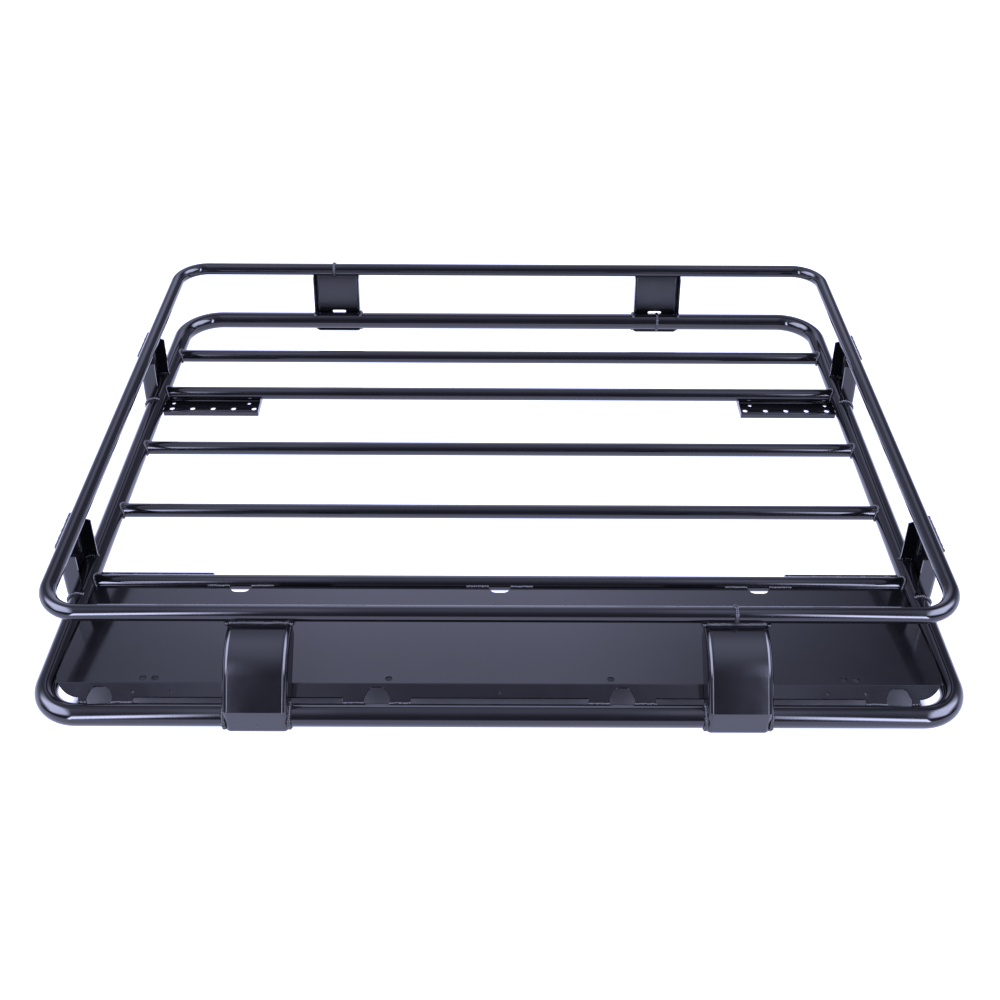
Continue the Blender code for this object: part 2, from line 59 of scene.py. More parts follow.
# %% Helpers for colours and nodes
def linear(hex_colour):
    """An sRGB hex colour as linear red, green, blue and alpha."""
    channels = [int(hex_colour[index : index + 2], 16) / 255 for index in (1, 3, 5)]
    turned = [c / 12.92 if c <= 0.04045 else ((c + 0.055) / 1.055) ** 2.4 for c in channels]
    return (*turned, 1.0)


def add_node(tree, kind, inputs=None, **options):
    """A new node, with its options set and its inputs linked or filled."""
    node = tree.nodes.new(kind)
    for option, value in options.items():
        setattr(node, option, value)
    for socket, value in (inputs or {}).items():
        if isinstance(value, bpy.types.NodeSocket):
            tree.links.new(value, node.inputs[socket])
        else:
            node.inputs[socket].default_value = value
    return node


MM = 0.001

# %% [markdown]
# ## Gloss black powder coat
# Powder is sprayed on dry and melted in an oven. It flows into a thick, even skin that rounds off
# every edge, and it keeps a faint ripple a few millimetres wide, called orange peel. So the colour
# is nearly constant, and what the eye reads is the reflections: sharp on a tube, slightly wavy on a
# flat sheet. The resin bends light like glass does, so its index of refraction is about 1.52.

# %% The powder coat materials
def powder_coat(name, hex_colour, roughness, peel_mm, peel_depth_mm, wave_depth_mm):
    """Gloss powder coat with orange peel, slow waviness and a little unevenness in the gloss."""
    material = bpy.data.materials.new(name)
    material.use_nodes = True
    tree = material.node_tree
    shader = tree.nodes["Principled BSDF"]
    place = add_node(tree, "ShaderNodeTexCoord").outputs["Object"]
    # Orange peel: rounded ripples as wide as the powder's flow length.
    peel = add_node(tree, "ShaderNodeTexNoise", {"Vector": place, "Scale": 1000 / peel_mm, "Detail": 1.0})
    # Slow waves in the metal below, about 90 mm long, from rolling and from welding heat.
    wave = add_node(tree, "ShaderNodeTexNoise", {"Vector": place, "Scale": 1000 / 90, "Detail": 0.0})
    # The gloss changes a little from place to place with the thickness of the film.
    film = add_node(tree, "ShaderNodeTexNoise", {"Vector": place, "Scale": 1000 / 40, "Detail": 3.0})
    gloss = add_node(
        tree,
        "ShaderNodeMapRange",
        {
            "Value": film.outputs[0],
            "From Min": 0.3,
            "From Max": 0.7,
            "To Min": roughness,
            "To Max": roughness * 1.5,
        },
    )
    # Specks where dust settled before the powder melted: too small to show, so drawn 0.8 mm wide.
    speck = add_node(tree, "ShaderNodeTexVoronoi", {"Vector": place, "Scale": 1000 / 14})
    dust = add_node(
        tree,
        "ShaderNodeMapRange",
        {
            "Value": speck.outputs["Distance"],
            "From Min": 0.02,
            "From Max": 0.06,
            "To Min": 1.0,
            "To Max": 0.0,
        },
    )
    waved = add_node(
        tree,
        "ShaderNodeBump",
        {"Height": wave.outputs[0], "Strength": 1.0, "Distance": wave_depth_mm * MM},
    )
    peeled = add_node(
        tree,
        "ShaderNodeBump",
        {
            "Height": peel.outputs[0],
            "Strength": 1.0,
            "Distance": peel_depth_mm * MM,
            "Normal": waved.outputs["Normal"],
        },
    )
    specked = add_node(
        tree,
        "ShaderNodeBump",
        {
            "Height": dust.outputs[0],
            "Strength": 0.5,
            "Distance": 0.05 * MM,
            "Normal": peeled.outputs["Normal"],
        },
    )
    colour = linear(hex_colour)
    shade = add_node(
        tree,
        "ShaderNodeMixRGB",
        {"Fac": film.outputs[0], "Color1": colour, "Color2": tuple(1.5 * c for c in colour[:3]) + (1.0,)},
    )
    tree.links.new(shade.outputs[0], shader.inputs["Base Color"])
    tree.links.new(gloss.outputs[0], shader.inputs["Roughness"])
    tree.links.new(specked.outputs["Normal"], shader.inputs["Normal"])
    shader.inputs["IOR"].default_value = 1.52
    return material


coat_on_tube = powder_coat("powder_coat_on_drawn_tube", "#060607", 0.06, 2.4, 0.008, 0.02)
coat_on_pressing = powder_coat("powder_coat_on_pressed_steel", "#060607", 0.07, 2.8, 0.010, 0.04)
coat_on_sheet = powder_coat("powder_coat_on_folded_sheet", "#070708", 0.09, 3.0, 0.010, 0.08)
coat_on_weld = powder_coat("powder_coat_on_weld_bead", "#060607", 0.07, 1.6, 0.020, 0.02)
print("finishes:", [m.name for m in (coat_on_tube, coat_on_pressing, coat_on_sheet, coat_on_weld)])

# %% [markdown]
# ## Sizes taken from the frame
# Each ring was bent from one tube size, so a node's box gives the tube's radius and its height, and
# the sizes of the pressings follow from the boxes of their nodes. Only what a box can't show, such
# as a bend radius or a hole pitch, is written down as a value of its own.

# %% Sizes
base_low, base_high = (Vector(corner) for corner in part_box("base_tube_left"))
rail_low, rail_high = (Vector(corner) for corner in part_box("top_rail_left"))
bar_low, bar_high = (Vector(corner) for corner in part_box("crossbar_1"))
BASE_RADIUS = (base_high.z - base_low.z) / 2
RAIL_RADIUS = (rail_high.z - rail_low.z) / 2
BAR_RADIUS = (bar_high.z - bar_low.z) / 2
BASE_Z = base_low.z + BASE_RADIUS
RAIL_Z = rail_low.z + RAIL_RADIUS
HALF_WIDTH = -base_low.x - BASE_RADIUS
FRONT_Y = base_low.y + BASE_RADIUS
REAR_Y = base_high.y - BASE_RADIUS
RAIL_FRONT_Y = rail_low.y + RAIL_RADIUS
RAIL_REAR_Y = rail_high.y - RAIL_RADIUS
BAR_Y = []
for number in range(1, 6):
    low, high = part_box(f"crossbar_{number}")
    BAR_Y.append((low.y + high.y) / 2)
BASE_FRONT_BEND = 51 * MM
BASE_REAR_BEND = 67 * MM
RAIL_BEND = 50 * MM
SHEET = 2.2 * MM
GAP = 0.3 * MM
print(f"tubes {BASE_RADIUS * 2000:.0f}, {RAIL_RADIUS * 2000:.0f} and {BAR_RADIUS * 2000:.0f} mm")
print(f"rings {HALF_WIDTH * 2:.3f} m wide, {REAR_Y - FRONT_Y:.3f} m long, {RAIL_Z - BASE_Z:.4f} m apart")

# %% [markdown]
# ## Outlines with round corners
# A bent tube, a pressed post and a folded sheet all start as straight runs joined by arcs. One
# function walks a list of corners and replaces each round one by points on its arc. The same
# function then serves every piece, and a finer step gives a smoother bend without more code.

# %% Rounded paths
ARC_STEP = math.radians(5)


def arc_corner(before, corner, after, radius):
    """Points of the arc that rounds a corner between two straight runs."""
    arriving = (corner - before).normalized()
    leaving = (after - corner).normalized()
    turn = math.atan2(arriving.x * leaving.y - arriving.y * leaving.x, arriving.dot(leaving))
    start = corner - arriving * radius * math.tan(abs(turn) / 2)
    to_centre = Vector((-arriving.y, arriving.x)) * math.copysign(radius, turn)
    steps = max(2, math.ceil(abs(turn) / ARC_STEP))
    turns = [Matrix.Rotation(turn * step / steps, 2) for step in range(steps + 1)]
    return [start + to_centre + rotation @ -to_centre for rotation in turns]


def rounded(corners, closed=True):
    """The points of a path given as (x, y, radius) corners, where radius 0 stays sharp."""
    points = []
    last = len(corners) - 1
    for index, (x, y, radius) in enumerate(corners):
        corner = Vector((x, y))
        if radius == 0 or (not closed and index in (0, last)):
            points.append(corner)
            continue
        before = Vector(corners[index - 1][:2])
        after = Vector(corners[(index + 1) % len(corners)][:2])
        points += arc_corner(before, corner, after, radius)
    return points


def circle(x, y, radius, sides=32):
    """The points of a circle."""
    turns = [2 * math.pi * index / sides for index in range(sides)]
    return [Vector((x + radius * math.cos(turn), y + radius * math.sin(turn))) for turn in turns]


# %% [markdown]
# ## A tube that follows a path
# Drawn tube is the same round section all along its path, so it is a rule more than a shape: sweep
# a circle along a curve. Geometry Nodes do this in a few nodes, and the radius stays a named input.
# The path is a chain of edges, which the tree turns into a curve, sweeps, caps and gives its coat.

# %% The tube tree
def new_tree(name, sockets):
    """A Geometry Nodes tree with these named inputs, given as (name, socket kind)."""
    tree = bpy.data.node_groups.new(name, "GeometryNodeTree")
    tree.interface.new_socket("Geometry", in_out="INPUT", socket_type="NodeSocketGeometry")
    for socket, kind in sockets:
        tree.interface.new_socket(socket, in_out="INPUT", socket_type=kind)
    tree.interface.new_socket("Geometry", in_out="OUTPUT", socket_type="NodeSocketGeometry")
    return tree


def finish_tree(tree, source, geometry):
    """Ends a tree: real geometry, smooth shading and the material, then the output."""
    real = add_node(tree, "GeometryNodeRealizeInstances", {"Geometry": geometry})
    smooth = add_node(tree, "GeometryNodeSetShadeSmooth", {"Geometry": real.outputs[0]})
    coated = add_node(
        tree,
        "GeometryNodeSetMaterial",
        {"Geometry": smooth.outputs[0], "Material": source.outputs["Material"]},
    )
    add_node(tree, "NodeGroupOutput", {"Geometry": coated.outputs[0]})


tube_tree = new_tree(
    "swept_tube",
    [("Radius", "NodeSocketFloat"), ("Sides", "NodeSocketInt"), ("Material", "NodeSocketMaterial")],
)
tube_in = add_node(tube_tree, "NodeGroupInput")
tube_path = add_node(tube_tree, "GeometryNodeMeshToCurve", {"Mesh": tube_in.outputs["Geometry"]})
tube_round = add_node(
    tube_tree,
    "GeometryNodeCurvePrimitiveCircle",
    {"Resolution": tube_in.outputs["Sides"], "Radius": tube_in.outputs["Radius"]},
)
tube_swept = add_node(
    tube_tree,
    "GeometryNodeCurveToMesh",
    {"Curve": tube_path.outputs[0], "Profile Curve": tube_round.outputs[0], "Fill Caps": True},
)
finish_tree(tube_tree, tube_in, tube_swept.outputs[0])


# %% [markdown]
# ## From a tree to a plain mesh
# A modifier is handy while a piece is designed, but a finished piece is a plain mesh. The function
# below puts a path in an object, sets the tree's inputs by their identifiers, takes the evaluated
# mesh out and throws the modifier away.

# %% Running a tree
def path_mesh(name, paths, closed=False):
    """A mesh that holds only edges, one chain for each path of points."""
    mesh = bpy.data.meshes.new(name)
    points = [point for path in paths for point in path]
    edges = []
    start = 0
    for path in paths:
        edges += [(start + index, start + index + 1) for index in range(len(path) - 1)]
        if closed:
            edges.append((start + len(path) - 1, start))
        start += len(path)
    mesh.from_pydata(points, edges, [])
    return mesh


def grown(name, mesh, tree, values, material):
    """A plain mesh object: what the tree makes from this mesh."""
    obj = bpy.data.objects.new(name, mesh)
    bpy.context.scene.collection.objects.link(obj)
    modifier = obj.modifiers.new("tree", "NODES")
    modifier.node_group = tree
    values = {**values, "Material": material}
    for item in tree.interface.items_tree:
        if item.in_out == "INPUT" and item.name in values:
            modifier[item.identifier] = values[item.name]
    graph = bpy.context.evaluated_depsgraph_get()
    result = bpy.data.meshes.new_from_object(obj.evaluated_get(graph))
    obj.modifiers.remove(modifier)
    obj.data = result
    bpy.data.meshes.remove(mesh)
    result.name = name
    return obj


def belongs(obj, slot, *nodes):
    """Rides on the one body and stands for these nodes; the finish slot is not used."""
    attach(obj, "root")
    if nodes:
        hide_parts(*nodes)
    print(f"{obj.name}: {len(obj.data.polygons)} faces")


# %% [markdown]
# ## The two rings
# A ring is bent from two lengths of tube, which meet in a butt weld over a post. Each half is one
# path: a straight run, a bend, the side, a bend and a straight run. The halves touch here, because
# the weld bead that is laid over the joint later hides the line between them.

# %% Make the rings
TUBE_SIDES = 64
rings = {
    "base_tube": (FRONT_Y, REAR_Y, BASE_Z, BASE_RADIUS, BASE_FRONT_BEND, BASE_REAR_BEND),
    "top_rail": (RAIL_FRONT_Y, RAIL_REAR_Y, RAIL_Z, RAIL_RADIUS, RAIL_BEND, RAIL_BEND),
}
joints = {"base_tube": (-312 * MM, 303 * MM), "top_rail": (306.5 * MM, -313 * MM)}  # front and rear
for ring, (front, rear, height, radius, front_bend, rear_bend) in rings.items():
    for hand, side in (("left", -1), ("right", 1)):
        front_joint, rear_joint = joints[ring]
        flat = rounded(
            [
                (front_joint, front, 0),
                (side * HALF_WIDTH, front, front_bend),
                (side * HALF_WIDTH, rear, rear_bend),
                (rear_joint, rear, 0),
            ],
            closed=False,
        )
        path = [Vector((point.x, point.y, height)) for point in flat]
        name = f"{ring}_{hand}"
        values = {"Radius": radius, "Sides": TUBE_SIDES}
        tube = grown(f"{name}_coated", path_mesh(name, [path]), tube_tree, values, coat_on_tube)
        belongs(tube, "tube_paint", name)

# %% Make the crossbars
BAR_END_DEPTH = 8 * MM  # how far a bar's hidden end reaches into the side tube
reach = HALF_WIDTH - BAR_END_DEPTH
for number, y in enumerate(BAR_Y, start=1):
    path = [Vector((x, y, BASE_Z)) for x in (-reach, reach)]
    values = {"Radius": BAR_RADIUS, "Sides": TUBE_SIDES}
    name = f"crossbar_{number}"
    bar = grown(f"{name}_coated", path_mesh(name, [path]), tube_tree, values, coat_on_tube)
    belongs(bar, "tube_paint", name)

# %% [markdown]
# ## Cutting and rounding pressings
# A post and a channel are pressed from flat sheet, so each has one wall thickness and soft bends.
# The easy way to make such a shape is to take the outer solid, round its long edges, and cut the
# same solid, smaller by the sheet, out of it. Round copes and holes are cut afterwards.

# %% Plates, cutters and cuts
SHEET_EASE = 0.35 * MM  # how far powder coat eases a cut edge


def plate(name, outlines, thickness, place):
    """A flat plate cut to the first outline, with the other outlines as holes."""
    curve = bpy.data.curves.new(name, "CURVE")
    curve.dimensions = "2D"
    curve.fill_mode = "BOTH"
    curve.extrude = thickness / 2
    for points in outlines:
        spline = curve.splines.new("POLY")
        spline.points.add(len(points) - 1)
        for spline_point, point in zip(spline.points, points):
            spline_point.co = (point.x, point.y, 0, 1)
        spline.use_cyclic_u = True
    source = bpy.data.objects.new(name, curve)
    bpy.context.scene.collection.objects.link(source)
    graph = bpy.context.evaluated_depsgraph_get()
    mesh = bpy.data.meshes.new_from_object(source.evaluated_get(graph))
    bpy.data.objects.remove(source)
    bpy.data.curves.remove(curve)
    shape = bmesh.new()
    shape.from_mesh(mesh)
    bmesh.ops.remove_doubles(shape, verts=shape.verts, dist=0.01 * MM)
    bmesh.ops.dissolve_limit(shape, angle_limit=0.001, verts=shape.verts, edges=shape.edges)
    bmesh.ops.recalc_face_normals(shape, faces=shape.faces)
    shape.to_mesh(mesh)
    shape.free()
    obj = bpy.data.objects.new(name, mesh)
    obj.matrix_world = place
    bpy.context.scene.collection.objects.link(obj)
    return obj


def rod(radius, length, place):
    """A round cutter along its own Z axis."""
    mesh = bpy.data.meshes.new("rod")
    shape = bmesh.new()
    bmesh.ops.create_cone(shape, cap_ends=True, segments=64, radius1=radius, radius2=radius, depth=length)
    shape.to_mesh(mesh)
    shape.free()
    obj = bpy.data.objects.new("rod", mesh)
    obj.matrix_world = place
    bpy.context.scene.collection.objects.link(obj)
    return obj


def round_edges(obj, path, radius, segments=6):
    """Rounds the edges that run along this path on both faces of a plate."""
    on_path = {(round(point.x, 6), round(point.y, 6)) for point in path}
    weights = obj.data.attributes.new("bevel_weight_edge", "FLOAT", "EDGE")
    for edge in obj.data.edges:
        ends = [obj.data.vertices[index].co for index in edge.vertices]
        same_face = abs(ends[0].z - ends[1].z) < GAP
        if same_face and all((round(end.x, 6), round(end.y, 6)) in on_path for end in ends):
            weights.data[edge.index].value = 1
    bevel = obj.modifiers.new("rounded edges", "BEVEL")
    bevel.limit_method = "WEIGHT"
    bevel.width = radius
    bevel.segments = segments
    bevel.use_clamp_overlap = False


def cut(obj, cutters, material, operation="DIFFERENCE", soften=SHEET_EASE):
    """Applies the cuts, eases the new edges as powder coat does, and bakes the place in the mesh."""
    for cutter in cutters:
        boolean = obj.modifiers.new("cut", "BOOLEAN")
        boolean.operation = operation
        boolean.object = cutter
    ease = obj.modifiers.new("eased edges", "BEVEL")
    ease.limit_method = "ANGLE"
    ease.angle_limit = math.radians(40)
    ease.width = soften
    ease.segments = 2
    ease.harden_normals = False
    graph = bpy.context.evaluated_depsgraph_get()
    mesh = bpy.data.meshes.new_from_object(obj.evaluated_get(graph))
    mesh.transform(obj.matrix_world)
    mesh.name = obj.name
    mesh.materials.clear()
    mesh.materials.append(material)
    for attribute in [item for item in mesh.attributes if item.name == "bevel_weight_edge"]:
        mesh.attributes.remove(attribute)
    mesh.shade_smooth()
    mesh.set_sharp_from_angle(angle=math.radians(32))
    obj.modifiers.clear()
    obj.data = mesh
    obj.matrix_world = Matrix.Identity(4)
    for cutter in cutters:
        bpy.data.objects.remove(cutter)
    # Large faces keep their own flat normal, and only the narrow bends between them are blended.
    weighted = obj.modifiers.new("weighted normals", "WEIGHTED_NORMAL")
    weighted.keep_sharp = True
    weighted.weight = 100
    graph = bpy.context.evaluated_depsgraph_get()
    mesh = bpy.data.meshes.new_from_object(obj.evaluated_get(graph))
    mesh.name = obj.name
    obj.modifiers.clear()
    obj.data = mesh
    return obj


def facing(outward, tube_middle):
    """A post's frame: X outwards, Y up and Z along the base tube, from the tube's centreline."""
    up = Vector((0, 0, 1))
    turned = Matrix((outward, up, outward.cross(up))).transposed().to_4x4()
    return Matrix.Translation(tube_middle) @ turned


# %% [markdown]
# ## The pressed posts
# Each post is a channel of 2.2 mm sheet that hooks under the base tube, runs up outside it and is
# welded to the top rail. Its flanges are coped, which means cut to the shape of the tube they meet.
# The rear and side posts stand upright. The front posts have a crease and then curl back in one
# swept face, which catches the light along both rounded edges.

# %% Post values and the upright post
SEAT = BASE_RADIUS + GAP + SHEET
RAIL_SEAT = RAIL_RADIUS + GAP + SHEET
RAIL_RISE = RAIL_Z - BASE_Z
FLANGE_DEPTH = 26 * MM
SIDE_LIP = FLANGE_DEPTH - SEAT
EDGE_ROUND = 8 * MM
FOOT_BEND = 9 * MM
COPE_GAP = 0.25 * MM
PAST = 10 * MM  # how far a cutter runs past what it cuts


def post(name, node, place, outer, inner, cavity, rail_middle, more_cutters=(), soften=SHEET_EASE):
    """A coped pressing from its outer path, its flanges' inner edge and its cavity's path."""
    low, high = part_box(node)
    along = place.to_3x3().col[2]
    width = abs((high - low).dot(along))
    body = plate(name, [outer + inner], width, place)
    round_edges(body, outer, EDGE_ROUND)
    hollow = plate(name + "_cavity", [cavity], width - 2 * SHEET, place)
    round_edges(hollow, cavity[:-1], EDGE_ROUND - SHEET)
    rail_place = place @ Matrix.Translation((*rail_middle, 0))
    cutters = [
        hollow,
        rod(BASE_RADIUS + COPE_GAP, width + 2 * PAST, place),
        rod(RAIL_RADIUS + COPE_GAP, width + 2 * PAST, rail_place),
    ]
    cut(body, [*cutters, *more_cutters], coat_on_pressing, soften=soften)
    belongs(body, "post_paint", node)
    return body


def upright_post(node, outward, overhang, more_cutters=()):
    """A post outside both rings, leaning out by the top rail's overhang."""
    low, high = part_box(node)
    middle = (low + high) / 2
    across = Vector((abs(outward.y), abs(outward.x), 0))
    ring = Vector((outward.x * HALF_WIDTH, REAR_Y if outward.y > 0 else 0, BASE_Z))
    place = facing(outward, ring + Vector((middle.x * across.x, middle.y * across.y, 0)))
    rail_web = overhang + RAIL_SEAT
    flange_top = RAIL_RISE - RAIL_RADIUS - GAP
    outer = rounded(
        [
            (-SIDE_LIP, -SEAT, 0),
            (SEAT, -SEAT, FOOT_BEND),
            (SEAT, BASE_RADIUS, EDGE_ROUND * 4),
            (rail_web, flange_top - EDGE_ROUND, EDGE_ROUND * 2),
            (rail_web, RAIL_RISE, 0),
        ],
        closed=False,
    )
    inner = [
        Vector((overhang, RAIL_RISE)),
        Vector((overhang - RAIL_RADIUS / 2, flange_top)),
        Vector((rail_web - FLANGE_DEPTH, flange_top - SHEET)),
        Vector((-SIDE_LIP, BASE_RADIUS * 1.5)),
    ]
    past = -FLANGE_DEPTH - PAST
    cavity = rounded(
        [
            (past, SHEET - SEAT, 0),
            (SEAT - SHEET, SHEET - SEAT, FOOT_BEND - SHEET),
            (SEAT - SHEET, BASE_RADIUS, EDGE_ROUND * 4),
            (rail_web - SHEET, flange_top - EDGE_ROUND, EDGE_ROUND * 2),
            (rail_web - SHEET, RAIL_RISE + PAST, 0),
            (past, RAIL_RISE + PAST, 0),
        ],
        closed=False,
    )
    return post(node + "_coated", node, place, outer, inner, cavity, (overhang, RAIL_RISE), more_cutters)


# %% Make the side posts and the rear posts
for end in ("front", "rear"):
    for hand, side in (("left", -1), ("right", 1)):
        upright_post(f"side_post_{end}_{hand}", Vector((side, 0, 0)), 0)

SLOT_LENGTH = 25.5 * MM
SLOT_HEIGHT = 5.5 * MM
SLOT_DROP = 4 * MM
ALMOST_ROUND = 0.98  # so that the two arcs of a slot's end don't meet in one point
for hand in ("left", "right"):
    node = f"rear_post_{hand}"
    low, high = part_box(node)
    run = SLOT_LENGTH / 2
    rise = SLOT_HEIGHT / 2
    slot_corners = ((-run, -rise), (run, -rise), (run, rise), (-run, rise))
    slot = rounded([(x, y, rise * ALMOST_ROUND) for x, y in slot_corners])
    slot_middle = Vector(((low.x + high.x) / 2, REAR_Y + SEAT, BASE_Z + BASE_RADIUS - SLOT_DROP))
    slot_place = Matrix.Translation(slot_middle) @ Matrix.Rotation(math.pi / 2, 4, "X")
    slot_cut = plate("slot", [slot], 2 * PAST, slot_place)
    upright_post(node, Vector((0, 1, 0)), RAIL_REAR_Y - REAR_Y, [slot_cut])

# %% Make the front posts
CREASE_RISE = 25.7 * MM
WEB_LEAN = math.radians(43)
WEB_BEND = 90 * MM
WEB_END = math.radians(-69)
FRONT_LIP = 12 * MM
CREASE_EASE = 1.2 * MM


def mitred(corner, before, after, inset):
    """This corner moved in from its two runs, whose inward directions are given."""
    return corner + (before + after) * (inset / (1 + before.dot(after)))


rail_middle = Vector((FRONT_Y - RAIL_FRONT_Y, RAIL_RISE))
web_end = rail_middle + Vector((math.cos(WEB_END), math.sin(WEB_END))) * (RAIL_RADIUS + 2 * GAP)
crease = Vector((SEAT, CREASE_RISE))
bend = crease + Vector((-math.tan(WEB_LEAN), 1)) * (web_end.y - crease.y)
into_foot = Vector((-1, 0))
into_web = Vector((-math.cos(WEB_LEAN), -math.sin(WEB_LEAN)))
into_top = Vector((0, -1))
outer = rounded(
    [
        (-FRONT_LIP, -SEAT, 0),
        (SEAT, -SEAT, FOOT_BEND),
        (*crease, 0),
        (*bend, WEB_BEND),
        (*web_end, 0),
    ],
    closed=False,
)
flange_end = web_end + into_top * FLANGE_DEPTH
inner = [flange_end, Vector((-SIDE_LIP, BASE_RADIUS / 3))]
inner_end = web_end + into_top * SHEET
cavity = rounded(
    [
        (-FLANGE_DEPTH - PAST, SHEET - SEAT, 0),
        (SEAT - SHEET, SHEET - SEAT, FOOT_BEND - SHEET),
        (*mitred(crease, into_foot, into_web, SHEET), 0),
        (*mitred(bend, into_web, into_top, SHEET), WEB_BEND - SHEET),
        (inner_end.x - PAST, inner_end.y, 0),
    ],
    closed=False,
)
cavity.append(flange_end + Vector((-PAST, -PAST)))
for hand in ("left", "right"):
    node = f"front_post_{hand}"
    low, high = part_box(node)
    place = facing(Vector((0, -1, 0)), Vector(((low.x + high.x) / 2, FRONT_Y, BASE_Z)))
    post(node + "_coated", node, place, outer, inner, cavity, rail_middle, soften=CREASE_EASE)

# %% [markdown]
# ## The mounting channels
# A channel hangs under a crossbar at each corner of the floor. The clamps of the vehicle's bars
# bolt through its rows of holes. It is a shallow pressing, open below, with a raised seat that
# touches the bar and a wall across its inner end.

# %% Make the mounting channels
PLATE_DROP = 13.6 * MM
CHANNEL_BEND = 3 * MM
SEAT_HALF_WIDTH = 4 * MM
SEAT_SLOPE = 2.5 * MM
SEAT_BEND = 1 * MM
HOLE_PITCH = 36 * MM
HOLE_COUNT = 5
HOLE_RADIUS = 4.5 * MM
HOLE_OFFSET = 28 * MM
FIRST_HOLE_INSET = 23 * MM
SMALL_HOLE_RADIUS = 3.25 * MM
SMALL_HOLE_OFFSET = 12.5 * MM
SMALL_HOLE_INSETS = (23 * MM, 156 * MM)
VENT_BASE = 16 * MM
VENT_DEPTH = 7.2 * MM
VENT_OFFSET = 14 * MM
ALONG_X = Matrix(((0, 0, 1), (1, 0, 0), (0, 1, 0))).to_4x4()


def channel_section(half_width, top, bottom, bend, seat_half_width):
    """The outline of a channel's section, with the raised seat under the crossbar."""
    seat_top = top + PLATE_DROP - BAR_RADIUS - GAP
    half = [
        (half_width, bottom, 0),
        (half_width, top, bend),
        (seat_half_width + SEAT_SLOPE, top, SEAT_BEND),
        (seat_half_width, seat_top, SEAT_BEND),
    ]
    return rounded(half + [(-x, y, radius) for x, y, radius in reversed(half)])


def channel(node, side):
    """One mounting channel, with its holes."""
    low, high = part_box(node)
    bar_y = (low.y + high.y) / 2
    half_width = (high.y - low.y) / 2
    inner_end, outer_end = sorted((abs(low.x), abs(high.x)))
    middle = Matrix.Translation(((low.x + high.x) / 2, bar_y, BASE_Z))
    section = channel_section(half_width, -PLATE_DROP, low.z - BASE_Z, CHANNEL_BEND, SEAT_HALF_WIDTH)
    body = plate(node + "_coated", [section], outer_end - inner_end, middle @ ALONG_X)
    hollow_section = channel_section(
        half_width - SHEET,
        -PLATE_DROP - SHEET,
        low.z - BASE_Z - PAST,
        CHANNEL_BEND - SHEET,
        SEAT_HALF_WIDTH - SHEET / 2,
    )
    start = inner_end + SHEET
    end = outer_end + PAST
    hollow_middle = Matrix.Translation((side * (start + end) / 2, bar_y, BASE_Z))
    hollow = plate("hollow", [hollow_section], end - start, hollow_middle @ ALONG_X)
    tube_place = Matrix.Translation((side * HALF_WIDTH, bar_y, BASE_Z)) @ Matrix.Rotation(math.pi / 2, 4, "X")
    cutters = [hollow, rod(BASE_RADIUS + GAP, 4 * half_width, tube_place)]
    holes = []
    for index in range(HOLE_COUNT):
        x = side * (HALF_WIDTH - FIRST_HOLE_INSET - HOLE_PITCH * index)
        holes += [circle(x, bar_y + HOLE_OFFSET, HOLE_RADIUS), circle(x, bar_y - HOLE_OFFSET, HOLE_RADIUS)]
    for inset in SMALL_HOLE_INSETS:
        holes.append(circle(side * (HALF_WIDTH - inset), bar_y - SMALL_HOLE_OFFSET, SMALL_HOLE_RADIUS))
    vent = [Vector((side * start, bar_y + VENT_OFFSET + half * VENT_BASE / 2)) for half in (-1, 1)]
    vent.append(Vector((side * (start + VENT_DEPTH), bar_y + VENT_OFFSET)))
    holes.append(vent)
    plate_place = Matrix.Translation((0, 0, BASE_Z - PLATE_DROP))
    cutters += [plate("punch", [hole], PAST, plate_place) for hole in holes]
    cut(body, cutters, coat_on_pressing)
    belongs(body, "channel_paint", node)


for end in ("front", "rear"):
    for hand, side in (("left", -1), ("right", 1)):
        channel(f"mounting_channel_{end}_{hand}", side)

# %% [markdown]
# ## The wind deflector
# One sheet, 2 mm thick, rises gently from the first crossbar to a fold just behind the front tube
# and then drops to it. Half-round notches in both long edges leave room for water to drain. The
# folded band is cut to its plan outline in one go, as a laser would cut the flat blank.

# %% Make the wind deflector
FOLD_INSET = 35.9 * MM
FOLD_RISE = 20 * MM
STRIP_RUN = 15.1 * MM
STRIP_FALL = 10 * MM
HALF_SHEET = 1 * MM
FOLD_OUTSIDE = 2.5 * MM
FOLD_INSIDE = 0.6 * MM
CORNER = 35 * MM
NOTCH_HALF = 16.5 * MM
NOTCH_DEPTH = 11.5 * MM
TAB_LENGTH = 27.5 * MM
TAB_REACH = 6.2 * MM
FRONT_NOTCHES = (160 * MM, HALF_WIDTH - 78 * MM)
REAR_NOTCHES = (HALF_WIDTH - 225 * MM, 0.0, 225 * MM - HALF_WIDTH)
FOLD_HOLES = (146 * MM, HALF_WIDTH - 131 * MM, HALF_WIDTH - 147 * MM)
FOLD_HOLE_RADIUS = 4.75 * MM
FOLD_HOLE_SETBACK = 9 * MM
STRIP_HOLES = (HALF_WIDTH - 121 * MM, HALF_WIDTH - 171 * MM)
STRIP_HOLE_RADIUS = 2.25 * MM
STRIP_HOLE_SETBACK = 9.5 * MM

bar_front = BAR_Y[0] - BAR_RADIUS - GAP
fold_y = FRONT_Y + FOLD_INSET
strip_front = fold_y - STRIP_RUN
tab_front = strip_front - TAB_REACH
rise_rate = FOLD_RISE / (BAR_Y[0] - fold_y)
fall_rate = STRIP_FALL / STRIP_RUN
panel_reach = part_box("wind_deflector")[1].x


def deflector_height(y):
    """Height of the sheet's middle over the base ring's centreline."""
    if y > fold_y:
        return (BAR_Y[0] - y) * rise_rate
    return FOLD_RISE - (fold_y - y) * fall_rate


